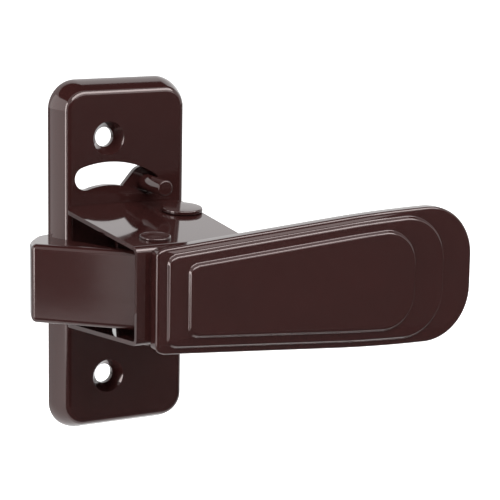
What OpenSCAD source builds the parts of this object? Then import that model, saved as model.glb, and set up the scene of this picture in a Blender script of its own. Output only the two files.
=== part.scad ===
// Screen door latch: a pan shaped plate that screws to the door, a sprung lever with a long stepped
// paddle, a swinging tongue that catches behind the frame, and a sliding night lock.
// X runs towards the paddle, Z is up and the room is at -Y. The origin is midway between the screw
// holes, in the middle of their straight part. A distance out is measured from the door's face.

/* [Plate] */
// Width of the plate at its front edge
plate_w = 41.5; // [41:0.5:48]
// Height of the plate at its front edge
plate_h = 107.6; // [102:0.5:120]
// How far the plate's face stands out from the door
plate_out = 8.6; // [8:0.1:10]
// Thickness of the plate's face
plate_wall = 2.6; // [2:0.1:2.8]
// Thickness of the plate's sides
plate_side = 1.6; // [1.2:0.1:1.8]
// How much the plate's sides spread towards the door
plate_flare = 2.1; // [0:0.1:3]
// Corner radius of the plate's outline
plate_corner_r = 7; // [5:0.5:10]
// Radius of the rounded front edge
plate_edge_r = 2.6; // [1.5:0.1:3]
// Distance from the screw holes to the plate's middle
plate_shift = 6; // [5:0.5:7]

/* [Screw holes] */
// Distance between the two screw holes
screw_spacing = 76.2; // [74:0.1:82]
// Diameter of each screw hole
screw_hole_d = 6.2; // [5:0.1:6.6]
// Diameter of the countersink's mouth
sink_d = 10.5; // [9:0.1:12]
// Depth of the countersink
sink_depth = 3.4; // [2.5:0.1:4]
// Length of the hole's straight part behind the countersink
land_t = 1.8; // [1.2:0.1:2.2]

/* [Night lock] */
// Radius of the slot's middle line about the lock's pivot
slot_r = 27; // [25:0.5:28.5]
// Width of the slot
slot_w = 7.3; // [6:0.1:8]
// Angle of the slot's left end from straight up
slot_left = 17; // [10:1:18]
// Angle of the slot's right end from straight up
slot_right = 31; // [24:1:32]
// Diameter of the lock's stud
stud_d = 5.1; // [4:0.1:5.5]
// How far the stud stands out of the plate
stud_reach = 12; // [8:0.5:12]
// Thickness of the lock's arm
arm_t = 1.8; // [1.2:0.1:2]
// Radius of the arm about its pivot
arm_hub_r = 10; // [8:0.5:10]
// Radius of the arm about the stud
arm_end_r = 5.2; // [4.5:0.1:5.4]
// Distance from the arm's pivot to the middle of its tail
tail_r = 15; // [14:0.5:16]
// Radius of the tail's round end
tail_end_r = 4.6; // [3.5:0.1:5]
// Diameter of the opening for the outside button's rod
rod_hole_d = 6.6; // [5:0.1:7]
// Diameter of the rivet that the arm turns on
lock_rivet_d = 5; // [4:0.1:6]

/* [Lever] */
// Height of the lever's middle above the screw holes' middle
lever_z = -1.3; // [-3:0.1:1]
// How far the lever's front stands out of the plate's face
lever_reach = 49.7; // [48:0.1:58]
// Height of the lever where it meets the plate
ear_rear_h = 37.6; // [36.5:0.1:40]
// Height of the lever at its front
ear_front_h = 29.4; // [28.5:0.1:31]
// Thickness of the lever's sheet
sheet_t = 1.3; // [1:0.1:1.5]
// Radius of the lever's bends
bend_r = 2.4; // [2:0.1:4]
// Distance from the screw holes to the lever's left edge
lever_left = 15; // [14:0.5:16]
// Distance from the screw holes to the lever's right edge
lever_right = 22; // [21.5:0.5:23]
// How much further right the ears reach at the plate
ear_spread = 2.2; // [1.8:0.1:2.4]
// Distance from the lever's rear edge to the plate
rear_gap = 0.3; // [0.2:0.1:1]
// How far the rear edge falls back at its right end
rear_fall = 1.4; // [1.4:0.1:3]
// Thickness of the bar that the outside button's rod pushes
push_bar_t = 1.6; // [1:0.1:2]
// Width of the bar that the rod pushes
push_bar_w = 7; // [5:0.5:7]

/* [Lever pivot] */
// Distance from the screw holes to the lever's pivot
pivot_x = 17.9; // [17.5:0.1:18.1]
// How far the lever's pivot lies behind the lever's front
pivot_behind = 34.3; // [33.8:0.1:34.6]
// Diameter of the pivot pin
pin_d = 5; // [4:0.1:5]
// Diameter of the pin's head
pin_head_d = 12.6; // [10:0.1:13]
// Thickness of the pin's head
pin_head_t = 1.4; // [1:0.1:2]
// Thickness of the pivot bracket
bracket_t = 2; // [1.5:0.1:2.5]
// Width of the pivot bracket where it meets the plate
bracket_w = 12; // [11.5:0.1:12.4]
// Thickness of the washers between the bracket and the lever
ear_washer_t = 0.4; // [0.3:0.1:0.8]
// Radius of the washers between the bracket and the lever
ear_washer_r = 4.6; // [4:0.1:5]
// Radius of the bracket's round ends
bracket_end_r = 5; // [4.5:0.1:5.5]
// Distance between the rivets that hold the bracket
bracket_rivet_gap = 16; // [14:0.5:18]
// Diameter of the bracket's rivets
bracket_rivet_d = 3.2; // [2.5:0.1:3.6]

/* [Tongue] */
// Height of the tongue
tongue_h = 24; // [20:0.1:24.6]
// Wall of the tongue
tongue_wall = 1.6; // [1.2:0.1:2]
// Distance from the screw holes to the tongue's pivot
tongue_pivot_x = 4.5; // [4:0.1:5]
// How far the tongue's pivot lies behind the lever's front
tongue_pivot_behind = 8.3; // [8.1:0.1:8.5]
// Radius of the tongue about its pivot
tongue_hub_r = 5.25; // [4.8:0.05:5.4]
// Distance from the screw holes to the tongue's nose
nose_x = 34.6; // [31:0.1:36]
// Diameter of the tongue's rivet
tongue_rivet_d = 4.4; // [3.6:0.1:4.6]
// Diameter of the rivet's head
tongue_head_d = 9.3; // [8:0.1:10]
// Height of the rivet's head
tongue_head_t = 0.9; // [0.8:0.1:1.3]

/* [Paddle] */
// Distance from the screw holes to the paddle's left edge
paddle_left = 10.1; // [9.5:0.1:10.5]
// Distance from the screw holes to the paddle's right end
paddle_right = 101; // [90:0.5:110]
// How far the paddle's middle lies below the lever's
paddle_drop = 1.2; // [0:0.1:1.5]
// Height of the paddle at its widest
paddle_h = 43.2; // [38:0.2:48]
// Distance from the right end to the widest place
paddle_crown = 11; // [10:0.5:16]
// Radius of the long edges' slight curve
paddle_edge_curve = 533; // [500:1:700]
// Length of the curve, which ends in a straight run to the left
paddle_bend = 40; // [30:1:44]
// Radius of the paddle's left corners
paddle_corner_r = 2.5; // [1.5:0.1:4]
// Radius of the paddle's right corners
paddle_end_r = 16.5; // [14:0.5:18]
// Depth of the paddle's side wall
paddle_depth = 4.2; // [3.5:0.1:5]
// Height of each step on the paddle's face
step_h = 1.5; // [0.8:0.1:1.6]
// Wall of the paddle
paddle_wall = 1.6; // [1.2:0.1:2]
// Border of the first step at the top and bottom
step_side = 2.6; // [2.4:0.1:3.2]
// Border of the second step at the top and bottom
step_side_two = 3.3; // [2.8:0.1:3.6]
// Border of the first step at the left
step_left = 3.5; // [2.8:0.1:4]
// Border of the second step at the left
step_left_two = 6.2; // [5:0.1:8]
// Border of each step at the right end
step_right = 11.5; // [9:0.1:13]
// How far the steps' sides lean at the top and bottom
step_lean = 0.9; // [0.4:0.1:1]
// Diameter of the rivets that hold the paddle
paddle_rivet_d = 3.6; // [3:0.1:4]
// Distance between the paddle's rivets
paddle_rivet_gap = 16; // [13:0.5:18]

/* [Springs] */
// Wire of the lever's spring
lever_wire = 1.1; // [0.8:0.05:1.2]
// Turns of the lever's spring
lever_turns = 6; // [4:1:8]
// Wire of the tongue's spring
tongue_wire = 0.8; // [0.6:0.05:0.9]
// Turns of the tongue's spring
tongue_turns = 5; // [3:1:7]

/* [Fits] */
// Gap around a shaft that turns in a hole
turn_gap = 0.06; // [0.02:0.01:0.1]
// Gap around a shank that is fixed in its hole
shank_gap = 0.03; // [0.02:0.01:0.05]
// Gap between faces that slide past each other
slide_gap = 0.05; // [0.03:0.01:0.1]
// Small chamfer on turned ends
end_chamfer = 0.6; // [0.3:0.1:0.8]

/* [Hidden] */
$fn = 48;
coat = "#33201f";
bare = "#b9bcc0";

// Places on the plate
plate_mid_x = plate_shift;
inside_out = plate_out - plate_wall;
hole_z = screw_spacing / 2;
boss_back = plate_out - sink_depth - land_t;
door_back = plate_out - sink_depth - land_t / 2;

// Places on the lever
lever_out = plate_out + lever_reach;
rear_half = ear_rear_h / 2;
front_half = ear_front_h / 2;
ear_slope = (rear_half - front_half) / lever_reach;
function ear_half(out) = rear_half - ear_slope * (out - plate_out);
function ear_inner(out) = ear_half(out) - sheet_t * sqrt(1 + ear_slope * ear_slope);
pivot_out = lever_out - pivot_behind;
tongue_pivot_out = lever_out - tongue_pivot_behind;

// Middle of the paddle
paddle_z = lever_z - paddle_drop;

// Places on the pin. The ears' slope turns with the lever and the head stays clear of it
pin_r = pin_d / 2;
pin_head_r = pin_head_d / 2;
head_low = ear_half(pivot_out) + slide_gap + 0.4 * ear_slope * pin_head_r;
clip_t = 0.16 * pin_d;
clip_r = 0.92 * pin_d;
clip_top = ear_half(pivot_out - clip_r) + slide_gap;
bracket_half = ear_inner(pivot_out + ear_washer_r) - ear_washer_t - 2 * slide_gap;
bracket_inner = bracket_half - bracket_t;

// Places on the tongue
tongue_half = tongue_h / 2;
tongue_pin_r = tongue_rivet_d / 2;

// Places of the night lock, out from the door
arm_room = arm_t / 3;
arm_front = inside_out - arm_room;
arm_back = arm_front - arm_t;
stud_r = stud_d / 2;
stud_end = plate_out + stud_reach;

function unit(v) = v / norm(v);
function cross_of(u, v) = u[0] * v[1] - u[1] * v[0];
function flat(p) = [p[0], p[1]];

// The arc that rounds corner b between a and c with radius r
function corner_arc(a, b, c, r, n) =
    let (
        u = unit(a - b),
        v = unit(c - b),
        half = acos(u * v) / 2,
        centre = b + unit(u + v) * r / sin(half),
        start = b + u * r / tan(half) - centre,
        end = b + v * r / tan(half) - centre,
        first = atan2(start[1], start[0]),
        turn = atan2(cross_of(start, end), start * end)
    )
    [for (i = [0:n]) centre + r * [cos(first + turn * i / n), sin(first + turn * i / n)]];

// An outline of corners [x, y, radius], with an arc at each corner that has a radius
function rounded(p, n = 8) =
    [for (i = [0:len(p) - 1])
        let (a = p[(i + len(p) - 1) % len(p)], b = p[i], c = p[(i + 1) % len(p)])
        each (b[2] == 0 ? [flat(b)] : corner_arc(flat(a), flat(b), flat(c), b[2], n))];

// A corner moved inwards by w, square to both of its sides
function inset_corner(a, b, c, w) =
    let (u = unit(a - b), v = unit(c - b))
    b + (u + v) * w / abs(cross_of(u, v));

// Moves a piece that is measured from the door's face to its place about the origin
module from_door() {
    translate([0, door_back, 0]) children();
}

// Extrudes an outline in X and Z outwards from the door
module outwards(from, to) {
    translate([0, -from, 0]) rotate([90, 0, 0]) linear_extrude(to - from) children();
}

// A round bar that runs outwards from the door
module bar_out(x, z, from, to, r) {
    translate([x, -from, z]) rotate([90, 0, 0]) cylinder(h = to - from, r = r);
}

// A cone that runs outwards from the door
module cone_out(x, z, from, to, r_from, r_to) {
    translate([x, -from, z]) rotate([90, 0, 0]) cylinder(h = to - from, r1 = r_from, r2 = r_to);
}

// Extrudes an outline in X and Y upwards
module upwards(low, high) {
    translate([0, 0, low]) linear_extrude(high - low) children();
}

// A round bar along Z
module bar_up(x, out, low, high, r) {
    translate([x, -out, low]) cylinder(h = high - low, r = r);
}

// A ring along Z
module ring_up(x, out, low, high, r_in, r_out) {
    difference() {
        bar_up(x, out, low, high, r_out);
        bar_up(x, out, low - 1, high + 1, r_in);
    }
}

// Side of the pan at one corner, from its rim to the face
function pan_profile(inset, rim, out, edge) =
    let (r = plate_corner_r - inset)
    concat(
        [[0, rim], [r + plate_flare, rim]],
        [for (a = [0:22.5:90]) [r - edge + edge * cos(a), out - edge + edge * sin(a)]],
        [[0, out]]
    );

module pan(inset, rim, out, edge) {
    hull() {
        for (side = [-1, 1], end = [-1, 1]) {
            translate([
                plate_mid_x + side * (plate_w / 2 - plate_corner_r),
                0,
                end * (plate_h / 2 - plate_corner_r)
            ])
                rotate([90, 0, 0]) rotate_extrude($fn = 32) 
                    polygon(pan_profile(inset, rim, out, edge));
        }
    }
}

// Direction on the plate at an angle from straight up, to the right
function on_plate(r, a) = [r * sin(a), r * cos(a)];

// The curved slot, as an outline in X and Z
module slot_outline() {
    half = slot_w / 2;
    step = (slot_left + slot_right) / 24;
    angles = [for (i = [0:24]) -slot_left + step * i];
    caps = [for (i = [1:11]) i * 15];
    polygon(concat(
        [for (a = angles) on_plate(slot_r + half, a)],
        [for (c = caps) on_plate(slot_r, slot_right)
            + half * [sin(slot_right + c), cos(slot_right + c)]],
        [for (i = [24:-1:0]) on_plate(slot_r - half, angles[i])],
        [for (c = caps) on_plate(slot_r, -slot_left)
            + half * [sin(180 - slot_left + c), cos(180 - slot_left + c)]]
    ));
}

// Where the outside button's rod comes through the plate
rod_place = -on_plate(tail_r, -slot_left);

module backplate() {
    sink_r = sink_d / 2;
    hole_r = screw_hole_d / 2;
    boss_wall = 0.12 * sink_d;
    color(coat) from_door() difference() {
        union() {
            difference() {
                pan(0, 0, plate_out, plate_edge_r);
                pan(plate_side, -slide_gap, inside_out, plate_edge_r / 3);
            }
            for (end = [-1, 1])
                cone_out(0, end * hole_z, boss_back, plate_out - plate_wall / 2,
                    hole_r + boss_wall, sink_r + boss_wall);
        }
        for (end = [-1, 1]) {
            bar_out(0, end * hole_z, -1, plate_out + 1, hole_r);
            cone_out(0, end * hole_z, plate_out - sink_depth, plate_out + 0.001, hole_r, sink_r);
        }
        outwards(1, plate_out + 1) slot_outline();
        bar_out(rod_place[0], rod_place[1], 1, plate_out + 1, rod_hole_d / 2);
        bar_out(0, 0, 1, plate_out + 1, lock_rivet_d / 2 + shank_gap);
        for (end = [-1, 1])
            bar_out(pivot_x, lever_z + end * bracket_rivet_gap / 2, 1, plate_out + 1,
                bracket_rivet_d / 2 + shank_gap);
    }
}

// Arm of the pivot bracket seen from above
module bracket_arm_plan() {
    half = bracket_w / 2;
    end_r = bracket_end_r;
    shoulder = plate_out + 0.37 * (pivot_out - plate_out);
    polygon(rounded([
        [pivot_x - half, -plate_out, 0],
        [pivot_x - half, -shoulder, end_r + 1],
        [pivot_x - end_r, -pivot_out, 0],
        [pivot_x - end_r, -pivot_out - end_r, end_r - 0.05],
        [pivot_x + end_r, -pivot_out - end_r, end_r - 0.05],
        [pivot_x + end_r, -pivot_out, 0],
        [pivot_x + half, -shoulder, end_r + 1],
        [pivot_x + half, -plate_out, 0]
    ]));
}

module pivot_bracket() {
    half = bracket_w / 2;
    color(coat) from_door() difference() {
        union() {
            for (end = [-1, 1]) {
                low = lever_z + (end > 0 ? bracket_inner : -bracket_half);
                upwards(low, low + bracket_t) bracket_arm_plan();
            }
            translate([pivot_x - half, -plate_out - bracket_t, lever_z - bracket_half])
                cube([bracket_w, bracket_t, 2 * bracket_half]);
        }
        bar_up(pivot_x, pivot_out, lever_z - ear_rear_h, lever_z + ear_rear_h, pin_r + shank_gap);
        for (end = [-1, 1])
            bar_out(pivot_x, lever_z + end * bracket_rivet_gap / 2, plate_out - 1,
                plate_out + bracket_t + 1, bracket_rivet_d / 2 + shank_gap);
    }
}

module bracket_rivets() {
    r = bracket_rivet_d / 2;
    head_t = 1.2;
    color(bare) from_door() for (end = [-1, 1]) {
        z = lever_z + end * bracket_rivet_gap / 2;
        front = plate_out + bracket_t;
        bar_out(pivot_x, z, inside_out - 0.5, front + 0.5, r);
        cone_out(pivot_x, z, front, front + head_t, r + 1.3, r + 0.4);
        cone_out(pivot_x, z, inside_out - 0.5, inside_out, r + 0.4, r + 1);
    }
}

// Round head that leans with the ear below it, from the middle of its underside
module leaning_head(x, out, z, r, t, edge) {
    translate([x, -out, z]) rotate([atan(ear_slope), 0, 0]) {
        cylinder(h = t - edge, r = r);
        translate([0, 0, t - edge]) cylinder(h = edge, r1 = r, r2 = r - 1.4 * edge);
    }
}

module pivot_pin() {
    head = lever_z + head_low;
    low = lever_z - clip_top - clip_t - 1.4;
    groove_top = lever_z - clip_top + slide_gap;
    groove_low = lever_z - clip_top - clip_t - slide_gap;
    color(coat) from_door() difference() {
        union() {
            bar_up(pivot_x, pivot_out, low + end_chamfer, head + pin_head_t / 2, pin_r);
            translate([pivot_x, -pivot_out, low])
                cylinder(h = end_chamfer, r1 = pin_r - end_chamfer, r2 = pin_r);
            leaning_head(pivot_x, pivot_out, head, pin_head_r, pin_head_t, 0.4);
        }
        ring_up(pivot_x, pivot_out, groove_low, groove_top, pin_r - 0.6, pin_r + 1);
    }
}

module ear_washers() {
    at = bracket_half + slide_gap;
    color(bare) from_door() for (end = [-1, 1]) {
        low = lever_z + (end > 0 ? at : -at - ear_washer_t);
        ring_up(pivot_x, pivot_out, low, low + ear_washer_t, pin_r + turn_gap, ear_washer_r);
    }
}

module pin_clip() {
    low = lever_z - clip_top - clip_t;
    gap_w = 3.2;
    color(bare) from_door() difference() {
        ring_up(pivot_x, pivot_out, low, low + clip_t, pin_r - 0.6 + 0.05, clip_r);
        translate([pivot_x - gap_w / 2, -pivot_out - clip_r - 1, low - 1])
            cube([gap_w, clip_r + 1, clip_t + 2]);
    }
}

bushing_r = pin_r + 1.5;

module pin_bushing() {
    color(bare) from_door()
        ring_up(pivot_x, pivot_out, lever_z - bracket_inner + slide_gap,
            lever_z + bracket_inner - slide_gap, pin_r + turn_gap, bushing_r);
}

// A round wire that follows the points p
module wire(p, r, sides = 8) {
    last = len(p) - 1;
    function along(i) = unit(p[min(i + 1, last)] - p[max(i - 1, 0)]);
    function side_of(t) = unit(cross(t, abs(t[2]) > 0.9 ? [1, 0, 0] : [0, 0, 1]));
    rings = [for (i = [0:last])
        let (t = along(i), a = side_of(t), b = cross(t, a))
        for (k = [0:sides - 1])
            p[i] + r * (cos(360 * k / sides) * a + sin(360 * k / sides) * b)];
    walls = [for (i = [0:last - 1], k = [0:sides - 1])
        let (n = (k + 1) % sides)
        [i * sides + k, i * sides + n, (i + 1) * sides + n, (i + 1) * sides + k]];
    start = [for (k = [sides - 1:-1:0]) k];
    end = [for (k = [0:sides - 1]) last * sides + k];
    polyhedron(points = rings, faces = concat([start], walls, [end]), convexity = 6);
}

// Points of a torsion spring about a post, with a straight leg from each end
function spring_points(x, out, z, r, pitch, turns, from, to, leg_low, leg_high) =
    let (
        sweep = 360 * turns + to - from,
        steps = round(sweep / 20),
        climb = pitch * sweep / 360,
        coil = [for (i = [0:steps])
            let (a = from + sweep * i / steps)
            [x + r * cos(a), -out + r * sin(a), z - climb / 2 + climb * i / steps]]
    )
    concat([leg_low + [0, 0, coil[0][2]]], coil, [leg_high + [0, 0, coil[steps][2]]]);

// The low leg lies on the plate and the high leg lies on the back of the lever's front
module lever_spring() {
    r = bushing_r + lever_wire / 2 + 0.35;
    leg_out = lever_out - sheet_t - lever_wire / 2 - 0.15;
    plate_leg = plate_out + bracket_t + lever_wire / 2 + 0.1;
    points = spring_points(pivot_x, pivot_out, lever_z, r, lever_wire + 0.12, lever_turns,
        180, 0, [pivot_x - r, -plate_leg, 0], [lever_right - 1.5 * lever_wire, -leg_out, 0]);
    color(bare) from_door() wire(points, lever_wire / 2);
}

// Side view of the lever's bent sheet, as an outline in out and Z
function sheet_profile() =
    let (
        rear = plate_out - 1,
        r_in = bend_r - sheet_t,
        outer = [
            [rear, ear_half(rear), 0],
            [lever_out, front_half, bend_r],
            [lever_out, -front_half, bend_r],
            [rear, -ear_half(rear), 0]
        ],
        inner = [
            [rear, -ear_inner(rear), 0],
            [lever_out - sheet_t, -ear_inner(lever_out - sheet_t), r_in],
            [lever_out - sheet_t, ear_inner(lever_out - sheet_t), r_in],
            [rear, ear_inner(rear), 0]
        ]
    )
    rounded(concat(outer, inner), 6);

// The lever's outline from above
function lever_plan(grow = 0) =
    let (rear = plate_out + rear_gap)
    rounded([
        [-lever_left - 1, -rear, 5],
        [-1, -rear, 0],
        [lever_right + ear_spread, -rear - rear_fall, 3],
        [lever_right, -lever_out - grow, 0],
        [-lever_left + 0.5, -lever_out - grow, 0]
    ]);

// Turns an outline in out and Z into a solid along X
module across(from, to) {
    translate([from, 0, lever_z]) rotate([90, 0, 90]) linear_extrude(to - from)
        mirror([1, 0]) children();
}

paddle_rivet_x = (lever_right - paddle_left) / 2 + 2;

module lever_bracket() {
    color(coat) from_door() difference() {
        intersection() {
            across(-lever_left - 5, lever_right + 5) polygon(sheet_profile());
            upwards(lever_z - ear_rear_h, lever_z + ear_rear_h) polygon(lever_plan(1));
        }
        bar_up(pivot_x, pivot_out, lever_z - ear_rear_h, lever_z + ear_rear_h, pin_r + turn_gap);
        bar_up(-tongue_pivot_x, tongue_pivot_out, lever_z - ear_rear_h, lever_z + ear_rear_h,
            tongue_pin_r + shank_gap);
        for (end = [-1, 1])
            bar_out(paddle_rivet_x, lever_z + end * paddle_rivet_gap / 2, lever_out - sheet_t - 1,
                lever_out + 1, paddle_rivet_d / 2 + shank_gap);
    }
}

// The strip between the ears that the outside button's rod pushes
module push_bar() {
    out = plate_out + rear_gap + 2.6;
    mid = rod_place[0];
    color(coat) from_door() intersection() {
        across(mid - push_bar_w / 2, mid + push_bar_w / 2) polygon([
            [out, -ear_inner(out)],
            [out + push_bar_t, -ear_inner(out + push_bar_t)],
            [out + push_bar_t, ear_inner(out + push_bar_t)],
            [out, ear_inner(out)]
        ]);
        upwards(lever_z - ear_rear_h, lever_z + ear_rear_h) polygon(lever_plan());
    }
}

// Half the paddle's height at a distance x from the screw holes
function paddle_half(x) =
    let (
        from_crown = max(paddle_right - paddle_crown - x, 0),
        bent = min(from_crown, paddle_bend)
    )
    paddle_h / 2 - bent * (from_crown - bent / 2) / paddle_edge_curve;

// The paddle's outline in X and Z, with each side moved in
function paddle_outline(left, side, right) =
    let (
        x0 = -paddle_left + left,
        x1 = paddle_right - right,
        end_r = paddle_end_r - side,
        crown_x = x1 - end_r,
        z_end = paddle_h / 2 - side,
        z0 = paddle_half(x0) - side,
        r = paddle_corner_r,
        steps = 12,
        edge = [for (i = [0:steps])
            let (x = x0 + r + (crown_x - x0 - r) * i / steps)
            [x, paddle_half(x) - side]],
        cap = [for (a = [80:-10:0])
            [x1 - end_r + end_r * cos(a), z_end - end_r + end_r * sin(a)]],
        corner = [for (a = [180:-15:105]) [x0 + r + r * cos(a), z0 - r + r * sin(a)]],
        top = concat(corner, edge, cap)
    )
    concat(top, [for (i = [len(top) - 1:-1:0]) [top[i][0], -top[i][1]]]);

// One layer of the paddle, whose front edge is a small slope that leans in by lean
module paddle_layer(from, to, left, side, right, slope = 0.5, lean = 0.35) {
    translate([0, 0, paddle_z]) {
        outwards(from, to - slope) polygon(paddle_outline(left, side, right));
        outwards(to - slope - 0.01, to)
            polygon(paddle_outline(left + lean, side + lean, right + lean));
    }
}

// The stepped form of the paddle, moved in and back by a wall
module paddle_form(back, wall) {
    face = lever_out + paddle_depth - wall;
    left_two = step_left + step_left_two;
    side_two = step_side + step_side_two;
    foot = wall - step_lean / 2;
    paddle_layer(back, face, wall, wall, wall);
    paddle_layer(face - step_h / 3, face + step_h, step_left + wall, step_side + foot,
        step_right + wall, step_h / 2, step_lean / 2);
    paddle_layer(face + step_h * 2 / 3, face + 2 * step_h, left_two + wall, side_two + foot,
        2 * step_right + wall, step_h / 2, step_lean / 2);
}

module paddle() {
    boss_r = paddle_rivet_d / 2 + 1.6;
    blind_out = lever_out + paddle_depth - 0.4;
    rib_half = paddle_half(paddle_rivet_x) - paddle_wall / 2;
    color(coat) from_door() difference() {
        union() {
            difference() {
                paddle_form(lever_out, 0);
                paddle_form(lever_out - 1, paddle_wall);
            }
            for (end = [-1, 1])
                bar_out(paddle_rivet_x, lever_z + end * paddle_rivet_gap / 2, lever_out,
                    lever_out + paddle_depth, boss_r);
            translate([paddle_rivet_x - 0.6, -lever_out - paddle_depth, paddle_z - rib_half])
                cube([1.2, paddle_depth, 2 * rib_half]);
        }
        for (end = [-1, 1])
            bar_out(paddle_rivet_x, lever_z + end * paddle_rivet_gap / 2, lever_out - 1,
                blind_out, paddle_rivet_d / 2 + shank_gap);
    }
}

module paddle_rivets() {
    r = paddle_rivet_d / 2;
    back = lever_out - sheet_t;
    color(coat) from_door() for (end = [-1, 1]) {
        z = lever_z + end * paddle_rivet_gap / 2;
        bar_out(paddle_rivet_x, z, back - 0.5, lever_out + paddle_depth - 0.5, r);
        cone_out(paddle_rivet_x, z, back - 1.2, back, r + 0.5, r + 1.5);
    }
}

// Corners of the tongue's front, from the tip by the plate to the place beside the hub
function in_tongue(across_share, out_share) =
    [-nose_x * (1 - across_share), -plate_out - lever_reach * out_share];
tongue_tip = in_tongue(0.3526, 0.0946);
nose_back = in_tongue(0.2023, 0.1288);
nose_side = in_tongue(0.078, 0.2414);
nose_front = in_tongue(0, 0.3903);
hub = [-tongue_pivot_x, -tongue_pivot_out];
ramp_dir = unit(hub + 0.7071 * tongue_hub_r * [-1, -1] - nose_front);
ramp_side = [-ramp_dir[1], ramp_dir[0]];
beside_hub = hub - tongue_hub_r * ramp_side;
ramp_end = beside_hub - 0.686 * tongue_hub_r * ramp_dir;
nose_back_r = 1.14 * tongue_hub_r;
nose_side_r = 1.9 * tongue_hub_r;
nose_front_r = 0.35 * tongue_hub_r;

// The flange's edge inside the tongue
flange_far = in_tongue(0.294, 0.2414);
flange_near = in_tongue(0.595, 0.704);

function tongue_outside() =
    concat(
        [tongue_tip],
        corner_arc(tongue_tip, nose_back, nose_side, nose_back_r, 8),
        corner_arc(nose_back, nose_side, nose_front, nose_side_r, 6),
        corner_arc(nose_side, nose_front, ramp_end, nose_front_r, 8),
        [ramp_end]
    );

function tongue_inside(w) =
    let (
        in_back = inset_corner(tongue_tip, nose_back, nose_side, w),
        in_side = inset_corner(nose_back, nose_side, nose_front, w),
        in_front = inset_corner(nose_side, nose_front, ramp_end, w),
        square = unit(nose_back - tongue_tip),
        tip_in = tongue_tip + w * [-square[1], square[0]],
        end_in = ramp_end + w * ramp_side
    )
    concat(
        [tip_in],
        corner_arc(tip_in, in_back, in_side, nose_back_r - w, 8),
        corner_arc(in_back, in_side, in_front, nose_side_r - w, 6),
        corner_arc(in_side, in_front, end_in, nose_front_r - w, 8),
        [end_in]
    );

function backwards(p) = [for (i = [len(p) - 1:-1:0]) p[i]];

// Front wall of the tongue from above
module tongue_wall_plan() {
    polygon(concat(tongue_outside(), backwards(tongue_inside(tongue_wall))));
}

// Flange at the top and bottom of the tongue from above
module tongue_flange_plan() {
    end_in = ramp_end + tongue_wall * ramp_side;
    far = concat(
        corner_arc(end_in, flange_near, flange_far, 6, 5),
        corner_arc(flange_near, flange_far, tongue_tip, 5, 6)
    );
    polygon(concat(tongue_outside(), [end_in], far));
}

// Cheek that joins the tongue's wall to its hub, with a heel that stops at the lever's front
function tongue_cheek() =
    let (
        near = ramp_end - ramp_dir * 15,
        heel_y = -lever_out + sheet_t + slide_gap,
        first = atan2(-1, 0.3),
        last = 110,
        steps = 16
    )
    concat(
        [near + 0.3 * ramp_side, ramp_end + 0.3 * ramp_side],
        [[hub[0] - 5.2, heel_y + 1.6], [hub[0] - 4.4, heel_y], [hub[0] - 1.6, heel_y]],
        [for (i = [0:steps])
            let (a = first + (last - first) * i / steps)
            hub + tongue_hub_r * [cos(a), sin(a)]],
        [near + 7 * ramp_side]
    );

module tongue() {
    w = tongue_wall;
    color(coat) from_door() difference() {
        union() {
            upwards(lever_z - tongue_half, lever_z + tongue_half) tongue_wall_plan();
            for (end = [-1, 1]) {
                skin = lever_z + (end > 0 ? tongue_half - w : -tongue_half);
                web = lever_z + (end > 0 ? tongue_half - 2 * w : -tongue_half + w);
                upwards(skin, skin + w) tongue_flange_plan();
                upwards(web, web + w) polygon(tongue_cheek());
            }
        }
        bar_up(-tongue_pivot_x, tongue_pivot_out, lever_z - tongue_h, lever_z + tongue_h,
            tongue_pin_r + turn_gap);
    }
}

module tongue_rivet() {
    r = tongue_pin_r;
    head_r = tongue_head_d / 2;
    base = ear_half(tongue_pivot_out - head_r) + 0.02;
    top = lever_z + ear_half(tongue_pivot_out) + 0.02;
    color(coat) from_door() {
        bar_up(-tongue_pivot_x, tongue_pivot_out, lever_z - base - 0.3, top + 0.3, r);
        leaning_head(-tongue_pivot_x, tongue_pivot_out, top, head_r, tongue_head_t, 0.3);
        translate([-tongue_pivot_x, -tongue_pivot_out, lever_z - base - tongue_head_t])
            cylinder(h = tongue_head_t, r1 = head_r - 1.4, r2 = head_r - 0.7);
    }
}

spacer_r = 1.55 * tongue_pin_r;
spacer_t = ear_inner(tongue_pivot_out + spacer_r) - (tongue_half - tongue_wall) - 2 * slide_gap;

module tongue_spacers() {
    color(bare) from_door() for (end = [-1, 1]) {
        at = tongue_half - tongue_wall + slide_gap;
        low = lever_z + (end > 0 ? at : -at - spacer_t);
        ring_up(-tongue_pivot_x, tongue_pivot_out, low, low + spacer_t, tongue_pin_r + shank_gap,
            spacer_r);
    }
}

tongue_bush_r = tongue_pin_r + 1;

module tongue_bushing() {
    half = tongue_half - 2 * tongue_wall - slide_gap;
    color(bare) from_door()
        ring_up(-tongue_pivot_x, tongue_pivot_out, lever_z - half, lever_z + half,
            tongue_pin_r + shank_gap, tongue_bush_r);
}

// One leg lies in the tongue's nose and the other on the back of the lever's front
module tongue_spring() {
    r = tongue_bush_r + 0.9 * tongue_wire;
    web_back = lever_out - sheet_t - 0.65 * tongue_wire;
    leg = 2.4 * tongue_hub_r;
    on_wall = ramp_end - leg * ramp_dir + (tongue_wall + 0.7 * tongue_wire) * ramp_side;
    points = spring_points(-tongue_pivot_x, tongue_pivot_out, lever_z, r, tongue_wire + 0.1,
        tongue_turns, 180 + 90, 180 - 45,
        [hub[0] + leg, -web_back, 0], [on_wall[0], on_wall[1], 0]);
    color(bare) from_door() wire(points, tongue_wire / 2);
}

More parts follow.
